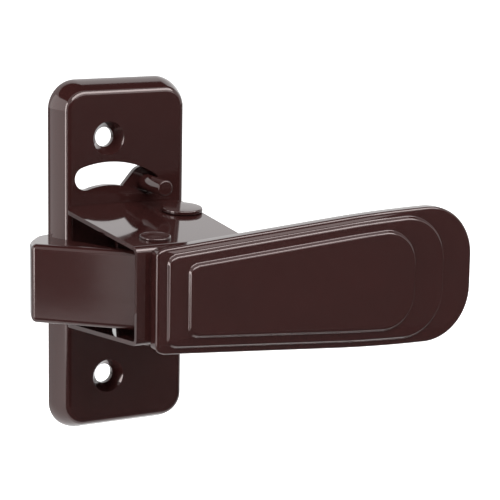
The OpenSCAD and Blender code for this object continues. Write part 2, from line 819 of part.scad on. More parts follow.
// Round ended arm from one circle to another, as an outline in X and Z
function taper(p, rp, q, rq) =
    let (
        u = unit(q - p),
        lean = asin((rp - rq) / norm(q - p)),
        side = [-u[1], u[0]],
        steps = 12
    )
    concat(
        [for (i = [0:steps])
            let (a = -90 + lean + (180 - 2 * lean) * i / steps)
            q + rq * (cos(a) * u + sin(a) * side)],
        [for (i = [0:steps])
            let (a = 90 - lean + (180 + 2 * lean) * i / steps)
            p + rp * (cos(a) * u + sin(a) * side)]
    );

stud_place = on_plate(slot_r, slot_right);
tail_place = -on_plate(tail_r, slot_right);
spigot_r = 0.73 * stud_r;
peen_t = arm_t / 2;

module lock_arm() {
    color(coat) from_door() difference() {
        union() {
            outwards(arm_back, arm_front) polygon(taper([0, 0], arm_hub_r, stud_place, arm_end_r));
            outwards(arm_back, arm_front)
                polygon(taper([0, 0], arm_hub_r - 2, tail_place, tail_end_r));
        }
        bar_out(0, 0, arm_back - 1, arm_front + 1, lock_rivet_d / 2 + turn_gap);
        bar_out(stud_place[0], stud_place[1], arm_back - 1, arm_front + 1, spigot_r + shank_gap);
    }
}

module lock_stud() {
    x = stud_place[0];
    z = stud_place[1];
    color(coat) from_door() {
        bar_out(x, z, arm_front, stud_end - end_chamfer, stud_r);
        cone_out(x, z, stud_end - end_chamfer, stud_end, stud_r, stud_r - end_chamfer);
        bar_out(x, z, arm_back - peen_t / 2, arm_front + peen_t / 2, spigot_r);
        cone_out(x, z, arm_back - peen_t, arm_back, 0.95 * stud_r, 1.2 * stud_r);
    }
}

module lock_rivet() {
    r = lock_rivet_d / 2;
    color(coat) from_door() {
        bar_out(0, 0, arm_back - peen_t / 2, plate_out + peen_t / 2, r);
        cone_out(0, 0, plate_out, plate_out + 0.56 * r, 1.8 * r, 1.44 * r);
        cone_out(0, 0, arm_back - slide_gap - peen_t, arm_back - slide_gap, 1.24 * r, 1.6 * r);
    }
}

module lock_washer() {
    r = lock_rivet_d / 2;
    color(bare) from_door() difference() {
        bar_out(0, 0, arm_front + slide_gap, inside_out - slide_gap, 2.36 * r);
        bar_out(0, 0, arm_front - peen_t, inside_out + peen_t, r + shank_gap);
    }
}

backplate();
pivot_bracket();
bracket_rivets();
pivot_pin();
ear_washers();
pin_clip();
pin_bushing();
lever_spring();
lever_bracket();
push_bar();
paddle();
paddle_rivets();
tongue();
tongue_rivet();
tongue_spacers();
tongue_bushing();
tongue_spring();
lock_arm();
lock_stud();
lock_rivet();
lock_washer();
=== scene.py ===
import math
import bmesh
import bpy
from mathutils import Matrix, Vector


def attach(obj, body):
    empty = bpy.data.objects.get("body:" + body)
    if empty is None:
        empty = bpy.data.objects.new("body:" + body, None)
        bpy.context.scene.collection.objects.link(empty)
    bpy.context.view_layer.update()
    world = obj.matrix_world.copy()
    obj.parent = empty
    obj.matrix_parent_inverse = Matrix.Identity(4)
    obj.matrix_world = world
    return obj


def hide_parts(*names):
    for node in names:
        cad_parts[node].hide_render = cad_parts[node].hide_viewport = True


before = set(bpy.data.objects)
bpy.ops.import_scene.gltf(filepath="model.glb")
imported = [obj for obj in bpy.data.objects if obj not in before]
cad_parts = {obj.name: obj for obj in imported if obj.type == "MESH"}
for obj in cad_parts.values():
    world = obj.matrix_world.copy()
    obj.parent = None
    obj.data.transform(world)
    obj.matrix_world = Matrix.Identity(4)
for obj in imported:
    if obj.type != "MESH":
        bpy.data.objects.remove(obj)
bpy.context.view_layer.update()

MM = 0.001
COLLECTION = bpy.context.scene.collection

# Sizes in millimetres. X runs to the paddle, Z is up, and "out" is the distance from the door
# towards the room, which is along -Y.

# Plate
PLATE_W, PLATE_H, PLATE_OUT = 41.5, 107.6, 8.6
PLATE_WALL, PLATE_SIDE, PLATE_FLARE = 2.6, 1.6, 2.1
PLATE_CORNER, PLATE_EDGE, PLATE_MID_X = 7.0, 2.6, 6.0
INSIDE_OUT = PLATE_OUT - PLATE_WALL
HOLE_Z, HOLE_R, SINK_R, SINK_DEPTH, BOSS_WALL = 38.1, 3.1, 5.25, 3.4, 1.26
HOLE_LAND = 1.8
DOOR_BACK = PLATE_OUT - SINK_DEPTH - HOLE_LAND / 2

# Night lock
SLOT_R, SLOT_W, SLOT_LEFT, SLOT_RIGHT = 27.0, 7.3, 17.0, 31.0
STUD_R, STUD_END = 2.55, 20.6
ARM_T, ARM_HUB_R, ARM_END_R, TAIL_R, TAIL_END_R = 1.8, 10.0, 5.2, 15.0, 4.6
ARM_FRONT = INSIDE_OUT - ARM_T / 3
ARM_BACK = ARM_FRONT - ARM_T
ROD_HOLE_R, LOCK_RIVET_R = 3.3, 2.5

# Lever
LEVER_Z, LEVER_OUT, REAR_HALF, FRONT_HALF = -1.3, 58.3, 18.8, 14.7
SHEET_T, BEND_R, LEVER_LEFT, LEVER_RIGHT = 1.3, 2.4, 15.0, 22.0
REAR_GAP, REAR_FALL, EAR_SPREAD = 0.3, 1.4, 2.2
PUSH_BAR_T, PUSH_BAR_W = 1.6, 7.0
EAR_SLOPE = (REAR_HALF - FRONT_HALF) / (LEVER_OUT - PLATE_OUT)

# Pivot
PIVOT_X, PIVOT_OUT, PIN_R, PIN_HEAD_R, PIN_HEAD_T = 17.9, 24.0, 2.5, 6.3, 1.4
BRACKET_T, BRACKET_W, BRACKET_END_R, RIVET_GAP, BRACKET_RIVET_R = 2.0, 12.0, 5.0, 16.0, 1.6
EAR_WASHER_T, EAR_WASHER_R, TURN_GAP, SHANK_GAP, SLIDE_GAP = 0.4, 4.6, 0.06, 0.03, 0.05

# Tongue
TONGUE_HALF, TONGUE_WALL, TONGUE_HUB_R, NOSE_X = 12.0, 1.6, 5.25, 34.6
TONGUE_PIN_X, TONGUE_PIN_OUT, TONGUE_PIN_R = -4.5, 50.0, 2.2
TONGUE_HEAD_R, TONGUE_HEAD_T = 4.65, 0.9

# Paddle
PADDLE_LEFT, PADDLE_RIGHT, PADDLE_H, PADDLE_CROWN = 10.1, 101.0, 43.2, 11.0
PADDLE_CURVE, PADDLE_BEND, PADDLE_CORNER, PADDLE_END_R, PADDLE_DEPTH = 533.0, 40.0, 2.5, 16.5, 4.2
PADDLE_Z, PADDLE_WALL = LEVER_Z - 1.2, 1.6
STEP_H, STEP_SIDES, STEP_LEFTS, STEP_RIGHT = 1.5, (2.6, 5.9), (3.5, 9.7), 11.5
PADDLE_RIVET_R = 1.8
PADDLE_RIVET_X = (LEVER_RIGHT - PADDLE_LEFT) / 2 + 2


def ear_half(out):
    return REAR_HALF - EAR_SLOPE * (out - PLATE_OUT)


def ear_inner(out):
    return ear_half(out) - SHEET_T * math.hypot(1, EAR_SLOPE)


# ---- Materials ----

def linear(hex_colour):
    parts = [int(hex_colour[i:i + 2], 16) / 255 for i in (1, 3, 5)]
    return [p / 12.92 if p <= 0.04045 else ((p + 0.055) / 1.055) ** 2.4 for p in parts] + [1.0]


def add(tree, kind, settings=None, links=None):
    """Adds a node. A setting is a property or an input; a link is input: (node, output)."""
    made = tree.nodes.new(kind)
    for key, value in (settings or {}).items():
        if isinstance(key, str) and hasattr(made, key):
            setattr(made, key, value)
        else:
            made.inputs[key].default_value = value
    for key, (source, output) in (links or {}).items():
        tree.links.new(source.outputs[output], made.inputs[key])
    return made


def new_material(name):
    material = bpy.data.materials.new(name)
    material.use_nodes = True
    material.node_tree.nodes.clear()
    return material, material.node_tree


def enamel(name, thin, thick, gloss_low, gloss_high, peel_depth, wave_mm, wave_depth):
    """Baked enamel sprayed on metal: a deep gloss with a faint orange peel, a little thinner and
    redder in places. wave_mm is the slow unevenness of the metal below."""
    material, tree = new_material(name)
    place = add(tree, "ShaderNodeTexCoord")
    pool = add(tree, "ShaderNodeTexNoise", {"Scale": 1 / (14 * MM), "Detail": 3.0},
               {"Vector": (place, "Object")})
    colour = add(tree, "ShaderNodeMix", {"data_type": "RGBA", 6: linear(thin), 7: linear(thick)},
                 {0: (pool, 0)})
    gloss = add(tree, "ShaderNodeMapRange", {"To Min": gloss_low, "To Max": gloss_high}, {"Value": (pool, 0)})
    peel = add(tree, "ShaderNodeTexNoise", {"Scale": 1 / (1.5 * MM), "Detail": 2.0},
               {"Vector": (place, "Object")})
    peel_bump = add(tree, "ShaderNodeBump", {"Strength": 1.0, "Distance": peel_depth * MM},
                    {"Height": (peel, 0)})
    wave = add(tree, "ShaderNodeTexNoise", {"Scale": 1 / (wave_mm * MM), "Detail": 1.0},
               {"Vector": (place, "Object")})
    wave_bump = add(tree, "ShaderNodeBump", {"Strength": 1.0, "Distance": wave_depth * MM},
                    {"Height": (wave, 0), "Normal": (peel_bump, 0)})
    shader = add(tree, "ShaderNodeBsdfPrincipled",
                 {"IOR": 1.5, "Specular Tint": linear("#fff0ee")},
                 {"Base Color": (colour, 2), "Roughness": (gloss, 0), "Normal": (wave_bump, 0)})
    add(tree, "ShaderNodeOutputMaterial", {}, {"Surface": (shader, 0)})
    return material


def plated(name, hex_colour, low, high, streak):
    """Bright zinc plate on turned or drawn steel: fine tool marks that stretch the gloss."""
    material, tree = new_material(name)
    place = add(tree, "ShaderNodeTexCoord")
    stretch = add(tree, "ShaderNodeMapping", {"Scale": streak}, {"Vector": (place, "Object")})
    marks = add(tree, "ShaderNodeTexNoise", {"Scale": 1 / (0.35 * MM), "Detail": 3.0},
                {"Vector": (stretch, 0)})
    cloud = add(tree, "ShaderNodeTexNoise", {"Scale": 1 / (4 * MM), "Detail": 2.0},
                {"Vector": (place, "Object")})
    gloss = add(tree, "ShaderNodeMapRange", {"To Min": low, "To Max": high}, {"Value": (cloud, 0)})
    bump = add(tree, "ShaderNodeBump", {"Strength": 0.6, "Distance": 0.004 * MM},
               {"Height": (marks, 0)})
    shader = add(tree, "ShaderNodeBsdfPrincipled",
                 {"Base Color": linear(hex_colour), "Metallic": 1.0},
                 {"Roughness": (gloss, 0), "Normal": (bump, 0)})
    add(tree, "ShaderNodeOutputMaterial", {}, {"Surface": (shader, 0)})
    return material


CAST_ENAMEL = enamel("baked_enamel_on_casting", "#281312", "#221110", 0.06, 0.11, 0.0010, 9.0, 0.006)
SHEET_ENAMEL = enamel("baked_enamel_on_sheet_steel", "#281312", "#221110", 0.04, 0.07, 0.0006,
                      16.0, 0.004)
PLATED_STEEL = plated("zinc_plated_turned_steel", "#c3c6ca", 0.22, 0.36, (1.0, 1.0, 7.0))
SPRING_STEEL = plated("drawn_spring_wire", "#55575a", 0.30, 0.44, (1.0, 1.0, 3.0))


# ---- Shapes ----

def out_from(x, z, out):
    return (x, -out, z)


def up_from(x, y, z):
    return (x, y, z)


def across(out, z, x):
    return (x, -out, z + LEVER_Z)


def new_piece(name, points, faces):
    mesh = bpy.data.meshes.new(name)
    mesh.from_pydata([[c * MM for c in p] for p in points], [], faces)
    shell = bmesh.new()
    shell.from_mesh(mesh)
    bmesh.ops.remove_doubles(shell, verts=shell.verts, dist=1e-7)
    bmesh.ops.recalc_face_normals(shell, faces=shell.faces)
    shell.to_mesh(mesh)
    shell.free()
    piece = bpy.data.objects.new(name, mesh)
    COLLECTION.objects.link(piece)
    return piece


def loft(name, rings, closed=False):
    """Skins rings of the same count. A closed loft joins its last ring to its first."""
    count = len(rings[0])
    points = [p for ring in rings for p in ring]
    faces = []
    spans = len(rings) if closed else len(rings) - 1
    for i in range(spans):
        j = (i + 1) % len(rings)
        for k in range(count):
            n = (k + 1) % count
            faces.append((i * count + k, i * count + n, j * count + n, j * count + k))
    if not closed:
        faces.append(tuple(range(count)))
        faces.append(tuple(range((len(rings) - 1) * count, len(rings) * count)))
    return new_piece(name, points, faces)


def prism(name, outline, low, high, place):
    return loft(name, [[place(u, v, h) for u, v in outline] for h in (low, high)])


def turned(name, profile, x, other, upright, steps=96, closed=False):
    """A turned piece: profile holds (radius, height). Upright pieces turn about Z at (x, out);
    the others run out from the door at (x, z)."""
    rings = []
    for radius, height in profile:
        ring = []
        for k in range(steps):
            a = 2 * math.pi * k / steps
            u, v = max(radius, 0) * math.cos(a), max(radius, 0) * math.sin(a)
            ring.append((x + u, -other + v, height) if upright else (x + u, -height, other + v))
        rings.append(ring)
    return loft(name, rings, closed)


def settle(piece):
    """Replaces the piece's mesh by its evaluated one and drops its modifiers."""
    graph = bpy.context.evaluated_depsgraph_get()
    made = bpy.data.meshes.new_from_object(piece.evaluated_get(graph))
    piece.modifiers.clear()
    piece.data = made
    return piece


def carve(piece, tool, way="DIFFERENCE"):
    change = piece.modifiers.new("carve", "BOOLEAN")
    change.operation = way
    change.object = tool
    change.solver = "MANIFOLD"
    settle(piece)
    bpy.data.objects.remove(tool)
    return piece


def soften(piece, width, segments=3, angle=32):
    """Rounds the sharp edges and shades the flats flat."""
    shell = bmesh.new()
    shell.from_mesh(piece.data)
    bmesh.ops.remove_doubles(shell, verts=shell.verts, dist=1e-6)
    bmesh.ops.dissolve_limit(shell, angle_limit=math.radians(0.4), verts=shell.verts,
                             edges=shell.edges)
    shell.to_mesh(piece.data)
    shell.free()
    if width:
        edge = piece.modifiers.new("edge", "BEVEL")
        edge.width = width * MM
        edge.segments = segments
        edge.limit_method = "ANGLE"
        edge.angle_limit = math.radians(angle)
        edge.miter_outer = "MITER_ARC"
    settle(piece)
    for face in piece.data.polygons:
        face.use_smooth = True
    piece.data.set_sharp_from_angle(angle=math.radians(48))
    even = piece.modifiers.new("even", "WEIGHTED_NORMAL")
    even.keep_sharp = True
    even.weight = 90
    return settle(piece)


def stands_for(piece, node, body, material):
    """Moves a finished piece from the door's face to the frame's origin, gives it its material, hangs it on
    its body and hides the CAD part it stands for.
    """
    piece.data.materials.clear()
    piece.data.materials.append(material)
    piece.data.transform(Matrix.Translation((0, DOOR_BACK * MM, 0)))
    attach(piece, body)
    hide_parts(node)
    return piece


def unit(v):
    size = math.hypot(*v)
    return (v[0] / size, v[1] / size)


def corner_arc(a, b, c, radius, count):
    """The arc that rounds corner b between a and c."""
    u = unit((a[0] - b[0], a[1] - b[1]))
    v = unit((c[0] - b[0], c[1] - b[1]))
    half = math.acos(max(-1, min(1, u[0] * v[0] + u[1] * v[1]))) / 2
    w = unit((u[0] + v[0], u[1] + v[1]))
    mid = (b[0] + w[0] * radius / math.sin(half), b[1] + w[1] * radius / math.sin(half))
    s = (b[0] + u[0] * radius / math.tan(half) - mid[0], b[1] + u[1] * radius / math.tan(half) - mid[1])
    e = (b[0] + v[0] * radius / math.tan(half) - mid[0], b[1] + v[1] * radius / math.tan(half) - mid[1])
    first = math.atan2(s[1], s[0])
    turn = math.atan2(s[0] * e[1] - s[1] * e[0], s[0] * e[0] + s[1] * e[1])
    return [(mid[0] + radius * math.cos(first + turn * i / count),
             mid[1] + radius * math.sin(first + turn * i / count)) for i in range(count + 1)]


def rounded(corners, count=10):
    """An outline of corners (u, v, radius)."""
    made = []
    for i, (u, v, radius) in enumerate(corners):
        if radius == 0:
            made.append((u, v))
        else:
            before, after = corners[i - 1], corners[(i + 1) % len(corners)]
            made += corner_arc(before[:2], (u, v), after[:2], radius, count)
    return made


def arc(mid, radius, first, last, count):
    """Points of an arc, angles in degrees."""
    return [(mid[0] + radius * math.cos(math.radians(first + (last - first) * i / count)),
             mid[1] + radius * math.sin(math.radians(first + (last - first) * i / count)))
            for i in range(count + 1)]


# ---- Plate ----

def plate_ring(grow, out):
    """The plate's rounded outline, moved outwards by grow, at a distance out."""
    radius = PLATE_CORNER + grow
    half_w, half_h = PLATE_W / 2 + grow - radius, PLATE_H / 2 + grow - radius
    corners = ((1, 1, 0), (-1, 1, 90), (-1, -1, 180), (1, -1, 270))
    return [out_from(PLATE_MID_X + p[0], p[1], out)
            for side, end, first in corners
            for p in arc((side * half_w, end * half_h), radius, first, first + 90, 18)]


def on_plate(radius, angle):
    return (radius * math.sin(math.radians(angle)), radius * math.cos(math.radians(angle)))


def slot_outline():
    half, steps = SLOT_W / 2, 40
    angles = [-SLOT_LEFT + (SLOT_LEFT + SLOT_RIGHT) * i / steps for i in range(steps + 1)]
    right, left = on_plate(SLOT_R, SLOT_RIGHT), on_plate(SLOT_R, -SLOT_LEFT)
    return (
        [on_plate(SLOT_R + half, a) for a in angles]
        + [(right[0] + half * math.sin(math.radians(SLOT_RIGHT + c)),
            right[1] + half * math.cos(math.radians(SLOT_RIGHT + c))) for c in range(10, 180, 10)]
        + [on_plate(SLOT_R - half, a) for a in reversed(angles)]
        + [(left[0] + half * math.sin(math.radians(180 - SLOT_LEFT + c)),
            left[1] + half * math.cos(math.radians(180 - SLOT_LEFT + c)))
           for c in range(10, 180, 10)]
    )


def make_backplate():
    shoulder, lean = PLATE_OUT - PLATE_EDGE, 28
    bend_in = PLATE_EDGE * (1 - math.cos(math.radians(lean)))
    bend_out = shoulder + PLATE_EDGE * math.sin(math.radians(lean))
    rings = [plate_ring((PLATE_FLARE + bend_in) * (1 - (i / 8) ** 1.5) - bend_in, bend_out * i / 8)
             for i in range(8)]
    rings += [plate_ring(-PLATE_EDGE + g, shoulder + o)
              for g, o in arc((0, 0), PLATE_EDGE, lean, 90, 12)]
    plate = loft("door_plate", rings)
    in_edge = PLATE_EDGE / 3
    hollow = [plate_ring(PLATE_FLARE - PLATE_SIDE, -SLIDE_GAP)]
    hollow += [plate_ring(-PLATE_SIDE - in_edge + g, INSIDE_OUT - in_edge + o)
               for g, o in arc((0, 0), in_edge, 0, 90, 6)]
    carve(plate, loft("hollow", hollow))
    boss_back = PLATE_OUT - SINK_DEPTH - HOLE_LAND
    for end in (-1, 1):
        z = end * HOLE_Z
        wall = HOLE_R + BOSS_WALL
        carve(plate, turned("boss", [(0, boss_back), (wall, boss_back),
                                     (SINK_R + BOSS_WALL, PLATE_OUT - PLATE_WALL / 2),
                                     (0, PLATE_OUT - PLATE_WALL / 2)], 0, z, False), "UNION")
        carve(plate, turned("hole", [(0, -1), (HOLE_R, -1), (HOLE_R, PLATE_OUT - SINK_DEPTH),
                                     (SINK_R, PLATE_OUT), (SINK_R, PLATE_OUT + 1),
                                     (0, PLATE_OUT + 1)], 0, z, False))
    carve(plate, prism("slot", slot_outline(), 1, PLATE_OUT + 1, out_from))
    rod = on_plate(TAIL_R, -SLOT_LEFT)
    holes = [(-rod[0], -rod[1], ROD_HOLE_R), (0, 0, LOCK_RIVET_R + SHANK_GAP)]
    holes += [(PIVOT_X, LEVER_Z + end * RIVET_GAP / 2, BRACKET_RIVET_R + SHANK_GAP)
              for end in (-1, 1)]
    for x, z, radius in holes:
        carve(plate, turned("hole", [(0, 1), (radius, 1), (radius, PLATE_OUT + 1),
                                     (0, PLATE_OUT + 1)], x, z, False, 64))
    soften(plate, 0.28)
    stands_for(plate, "backplate", "base", CAST_ENAMEL)


# ---- Lever ----

def lever_profile():
    rear = PLATE_OUT - 1
    r_in = BEND_R - SHEET_T
    web = LEVER_OUT - SHEET_T
    return rounded([
        (rear, ear_half(rear), 0), (LEVER_OUT, FRONT_HALF, BEND_R),
        (LEVER_OUT, -FRONT_HALF, BEND_R), (rear, -ear_half(rear), 0),
        (rear, -ear_inner(rear), 0), (web, -ear_inner(web), r_in),
        (web, ear_inner(web), r_in), (rear, ear_inner(rear), 0)], 14)


def lever_plan(grow=0.0):
    rear = PLATE_OUT + REAR_GAP
    return rounded([
        (-LEVER_LEFT - 1, -rear, 5), (-1, -rear, 0),
        (LEVER_RIGHT + EAR_SPREAD, -rear - REAR_FALL, 3),
        (LEVER_RIGHT, -LEVER_OUT - grow, 0), (-LEVER_LEFT + 0.5, -LEVER_OUT - grow, 0)], 12)


def make_lever_bracket():
    lever = prism("lever_sheet", lever_profile(), -LEVER_LEFT - 5, LEVER_RIGHT + 5, across)
    carve(lever, prism("plan", lever_plan(1), LEVER_Z - 30, LEVER_Z + 30, up_from), "INTERSECT")
    for x, out, radius in ((PIVOT_X, PIVOT_OUT, PIN_R + TURN_GAP),
                           (TONGUE_PIN_X, TONGUE_PIN_OUT, TONGUE_PIN_R + SHANK_GAP)):
        carve(lever, turned("hole", [(0, -40), (radius, -40), (radius, 40), (0, 40)],
                            x, out, True, 64))
    for end in (-1, 1):
        radius = PADDLE_RIVET_R + SHANK_GAP
        carve(lever, turned("hole", [(0, 50), (radius, 50), (radius, 60), (0, 60)],
                            PADDLE_RIVET_X, LEVER_Z + end * RIVET_GAP / 2, False, 64))
    soften(lever, 0.3)
    stands_for(lever, "lever_bracket", "lever", SHEET_ENAMEL)


def make_push_bar():
    out = PLATE_OUT + REAR_GAP + 2.6
    rod_x = -on_plate(TAIL_R, -SLOT_LEFT)[0]
    near, far = ear_inner(out), ear_inner(out + PUSH_BAR_T)
    bar = prism("push_bar_strip", [(out, -near), (out + PUSH_BAR_T, -far), (out + PUSH_BAR_T, far),
                                   (out, near)],
                rod_x - PUSH_BAR_W / 2, rod_x + PUSH_BAR_W / 2, across)
    soften(bar, 0.25)
    stands_for(bar, "push_bar", "lever", SHEET_ENAMEL)


# ---- Pivot ----

HEAD_LOW = ear_half(PIVOT_OUT) + SLIDE_GAP + 0.4 * EAR_SLOPE * PIN_HEAD_R
CLIP_T, CLIP_R = 0.16 * 2 * PIN_R, 0.92 * 2 * PIN_R
CLIP_TOP = ear_half(PIVOT_OUT - CLIP_R) + SLIDE_GAP
BRACKET_HALF = ear_inner(PIVOT_OUT + EAR_WASHER_R) - EAR_WASHER_T - 2 * SLIDE_GAP
BRACKET_INNER = BRACKET_HALF - BRACKET_T
BUSHING_R = PIN_R + 1.5


def make_pivot_bracket():
    half = BRACKET_W / 2
    web = PLATE_OUT + BRACKET_T
    reach = PIVOT_OUT + BRACKET_END_R + 1
    profile = rounded([
        (PLATE_OUT, -BRACKET_HALF, 1.2), (reach, -BRACKET_HALF, 0), (reach, -BRACKET_INNER, 0),
        (web, -BRACKET_INNER, 0.6), (web, BRACKET_INNER, 0.6), (reach, BRACKET_INNER, 0),
        (reach, BRACKET_HALF, 0), (PLATE_OUT, BRACKET_HALF, 1.2)], 8)
    bracket = prism("pivot_bracket_sheet", profile, PIVOT_X - half, PIVOT_X + half, across)
    shoulder = PLATE_OUT + 0.37 * (PIVOT_OUT - PLATE_OUT)
    end_r = BRACKET_END_R
    plan = rounded([
        (PIVOT_X - half - 0.01, -PLATE_OUT + 1, 0), (PIVOT_X - half - 0.01, -shoulder, end_r + 1),
        (PIVOT_X - end_r, -PIVOT_OUT, 0), (PIVOT_X - end_r, -PIVOT_OUT - end_r, end_r - 0.05),
        (PIVOT_X + end_r, -PIVOT_OUT - end_r, end_r - 0.05), (PIVOT_X + end_r, -PIVOT_OUT, 0),
        (PIVOT_X + half + 0.01, -shoulder, end_r + 1), (PIVOT_X + half + 0.01, -PLATE_OUT + 1, 0)], 12)
    carve(bracket, prism("plan", plan, -30, 30, up_from), "INTERSECT")
    radius = PIN_R + SHANK_GAP
    carve(bracket, turned("hole", [(0, -30), (radius, -30), (radius, 30), (0, 30)],
                          PIVOT_X, PIVOT_OUT, True, 64))
    for end in (-1, 1):
        radius = BRACKET_RIVET_R + SHANK_GAP
        carve(bracket, turned("hole", [(0, 5), (radius, 5), (radius, 15), (0, 15)],
                              PIVOT_X, LEVER_Z + end * RIVET_GAP / 2, False, 48))
    soften(bracket, 0.3)
    stands_for(bracket, "pivot_bracket", "base", SHEET_ENAMEL)


def leaning_head(profile, x, out, height):
    """A turned head that leans with the ear below it, from the middle of its underside."""
    head = turned("head", profile, 0, 0, True)
    lean = Matrix.Rotation(math.atan(EAR_SLOPE), 4, "X")
    head.data.transform(Matrix.Translation((x * MM, -out * MM, height * MM)) @ lean)
    return head


def make_pivot_pieces():
    head = LEVER_Z + HEAD_LOW
    low = LEVER_Z - CLIP_TOP - CLIP_T - 1.4
    groove_top = LEVER_Z - CLIP_TOP + SLIDE_GAP
    groove_low = LEVER_Z - CLIP_TOP - CLIP_T - SLIDE_GAP
    pin = turned("headed_pin", [
        (0, low), (PIN_R - 0.6, low), (PIN_R, low + 0.6), (PIN_R, groove_low),
        (PIN_R - 0.6, groove_low), (PIN_R - 0.6, groove_top), (PIN_R, groove_top),
        (PIN_R, head + PIN_HEAD_T / 2), (0, head + PIN_HEAD_T / 2)], PIVOT_X, PIVOT_OUT, True)
    rim = PIN_HEAD_R - 0.5
    carve(pin, leaning_head([(0, 0), (PIN_HEAD_R - 0.2, 0)] + arc((PIN_HEAD_R - 0.2, 0.2), 0.2, -60, 0, 3)
                            + arc((rim, PIN_HEAD_T - 0.62), 0.5, 0, 72, 7)
                            + [(rim - 1.2, PIN_HEAD_T - 0.06), (2.6, PIN_HEAD_T), (0, PIN_HEAD_T)],
                            PIVOT_X, PIVOT_OUT, head), "UNION")
    soften(pin, 0.05, 2)
    stands_for(pin, "pivot_pin", "base", CAST_ENAMEL)

    low = LEVER_Z - CLIP_TOP - CLIP_T
    bore = PIN_R - 0.55
    clip = turned("spring_clip", [(bore, low), (CLIP_R, low), (CLIP_R, low + CLIP_T),
                                  (bore, low + CLIP_T)], PIVOT_X, PIVOT_OUT, True, closed=True)
    gap = [(PIVOT_X - 1.6, -PIVOT_OUT), (PIVOT_X + 1.6, -PIVOT_OUT),
           (PIVOT_X + 1.6, -PIVOT_OUT - CLIP_R - 1), (PIVOT_X - 1.6, -PIVOT_OUT - CLIP_R - 1)]
    carve(clip, prism("gap", gap, low - 1, low + CLIP_T + 1, up_from))
    soften(clip, 0.12)
    stands_for(clip, "pin_clip", "base", PLATED_STEEL)

    half, bore = BRACKET_INNER - SLIDE_GAP, PIN_R + TURN_GAP
    bushing = turned("spring_tube", [
        (bore, LEVER_Z - half), (BUSHING_R - 0.25, LEVER_Z - half), (BUSHING_R, LEVER_Z - half + 0.25),
        (BUSHING_R, LEVER_Z + half - 0.25), (BUSHING_R - 0.25, LEVER_Z + half),
        (bore, LEVER_Z + half)], PIVOT_X, PIVOT_OUT, True, closed=True)
    soften(bushing, 0)
    stands_for(bushing, "pin_bushing", "base", PLATED_STEEL)


# ---- Repeated pieces and wires, made by Geometry Nodes ----

def node_group(name, inputs):
    tree = bpy.data.node_groups.new(name, "GeometryNodeTree")
    tree.interface.new_socket("Geometry", in_out="INPUT", socket_type="NodeSocketGeometry")
    for label, kind in inputs:
        tree.interface.new_socket(label, in_out="INPUT", socket_type=kind)
    tree.interface.new_socket("Geometry", in_out="OUTPUT", socket_type="NodeSocketGeometry")
    return tree


def finish_tree(tree, last, output, material):
    whole = add(tree, "GeometryNodeRealizeInstances", {}, {"Geometry": (last, output)})
    dressed = add(tree, "GeometryNodeSetMaterial", {"Material": material}, {"Geometry": (whole, 0)})
    add(tree, "NodeGroupOutput", {}, {0: (dressed, 0)})


def run_tree(piece, tree, values):
    grow = piece.modifiers.new("grow", "NODES")
    grow.node_group = tree
    for item in tree.interface.items_tree:
        if item.item_type == "SOCKET" and item.in_out == "INPUT" and item.name in values:
            grow[item.identifier] = values[item.name]
    settle(piece)
    for face in piece.data.polygons:
        face.use_smooth = True
    return piece


def copies_tree(material):
    """Sets a copy of one turned piece on each point, turned end for end where flip is 1."""
    tree = node_group("copies_on_points", [("Part", "NodeSocketObject"), ("Turn", "NodeSocketFloat")])
    start = add(tree, "NodeGroupInput")
    part = add(tree, "GeometryNodeObjectInfo", {"As Instance": True}, {"Object": (start, "Part")})
    flip = add(tree, "GeometryNodeInputNamedAttribute", {"data_type": "FLOAT", "Name": "flip"})
    angle = add(tree, "ShaderNodeMath", {"operation": "MULTIPLY"},
                {0: (flip, "Attribute"), 1: (start, "Turn")})
    turn = add(tree, "ShaderNodeCombineXYZ", {}, {"X": (angle, 0)})
    to_points = add(tree, "GeometryNodeMeshToPoints", {}, {"Mesh": (start, "Geometry")})
    copies = add(tree, "GeometryNodeInstanceOnPoints", {},
                 {"Points": (to_points, 0), "Instance": (part, "Geometry"), "Rotation": (turn, 0)})
    finish_tree(tree, copies, 0, material)
    return tree


def copies(name, part, points, flips, material):
    piece = new_piece(name, points, [])
    flip = piece.data.attributes.new("flip", "FLOAT", "POINT")
    for i, value in enumerate(flips):
        flip.data[i].value = value
    run_tree(piece, copies_tree(material), {"Part": part, "Turn": math.pi})
    bpy.data.objects.remove(part)
    return piece


def wire_tree(material):
    tree = node_group("wire_on_path", [("Wire radius", "NodeSocketFloat"), ("Sides", "NodeSocketInt")])
    start = add(tree, "NodeGroupInput")
    path = add(tree, "GeometryNodeMeshToCurve", {}, {"Mesh": (start, "Geometry")})
    section = add(tree, "GeometryNodeCurvePrimitiveCircle", {},
                  {"Resolution": (start, "Sides"), "Radius": (start, "Wire radius")})
    wire = add(tree, "GeometryNodeCurveToMesh", {"Fill Caps": True},
               {"Curve": (path, 0), "Profile Curve": (section, 0)})
    finish_tree(tree, wire, 0, material)
    return tree


def spring(name, path, radius, node, body):
    mesh = bpy.data.meshes.new(name)
    mesh.from_pydata([[c * MM for c in p] for p in path], [(i, i + 1) for i in range(len(path) - 1)], [])
    piece = bpy.data.objects.new(name, mesh)
    COLLECTION.objects.link(piece)
    run_tree(piece, wire_tree(SPRING_STEEL), {"Wire radius": radius * MM, "Sides": 14})
    stands_for(piece, node, body, SPRING_STEEL)


